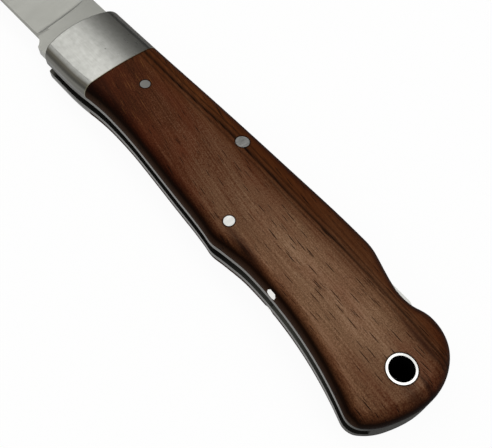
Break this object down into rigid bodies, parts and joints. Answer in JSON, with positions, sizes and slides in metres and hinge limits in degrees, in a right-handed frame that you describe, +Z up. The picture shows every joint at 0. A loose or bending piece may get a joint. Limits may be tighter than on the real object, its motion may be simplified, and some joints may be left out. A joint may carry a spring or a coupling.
{
  "type": "folding pocket knife",
  "caption": "Folding pocket knife with a drop point blade, a rocker lock in the back, steel bolsters, dark wooden scales on steel liners and a lanyard tube at the butt.",
  "frame": {"origin": "under the middle of the open knife's box, on the surface that it lies on", "axes": "+X from the blade's tip to the butt, +Y from the edge to the back, +Z up out of the front scale; the knife lies open on its rear scale"},
  "size_m": [0.2018, 0.03, 0.0126],
  "materials": {
    "blade_steel": "satin, ground",
    "bolster_steel": "satin, brushed lengthwise",
    "liner_steel": "satin, dull",
    "spring_steel": "tempered, dull",
    "scale_wood": "oiled dark hardwood, grain lengthwise",
    "washer_bronze": "dull",
    "pin_steel": "dressed flush, polished",
    "tube_steel": "polished"
  },
  "bodies": {
    "handle": {"lock_spring": "spring_steel", "butt_spacer": "liner_steel", "front_liner": "liner_steel", "front_bolster": "bolster_steel", "front_scale": "scale_wood", "front_pivot_washer": "washer_bronze", "front_bolster_pins": "pin_steel", "front_fore_rivet": "pin_steel", "front_mid_rivet": "pin_steel", "front_belly_rivet": "pin_steel", "pivot_pin": "pin_steel", "rocker_pin": "pin_steel", "lanyard_tube": "tube_steel", "spacer_pins": "pin_steel", "rear_liner": "liner_steel", "rear_bolster": "bolster_steel", "rear_scale": "scale_wood", "rear_pivot_washer": "washer_bronze", "rear_bolster_pins": "pin_steel", "rear_fore_rivet": "pin_steel", "rear_mid_rivet": "pin_steel", "rear_belly_rivet": "pin_steel"},
    "blade": {"blade": "blade_steel"},
    "lock_bar": {"lock_bar": "liner_steel"}
  },
  "joints": [
    {"name": "blade_fold", "type": "hinge", "parent": "handle", "child": "blade", "pos_m": [-0.0081, 0.00176, 0.0063], "axis": [0, 0, 1], "range_deg": [0, 180]},
    {"name": "lock_rock", "type": "hinge", "parent": "handle", "child": "lock_bar", "pos_m": [0.0357, 0.01056, 0.0063], "axis": [0, 0, 1], "range_deg": [0, 1.81], "stiffness_Nm_per_rad": 4, "springref_deg": 6.88}
  ]
}
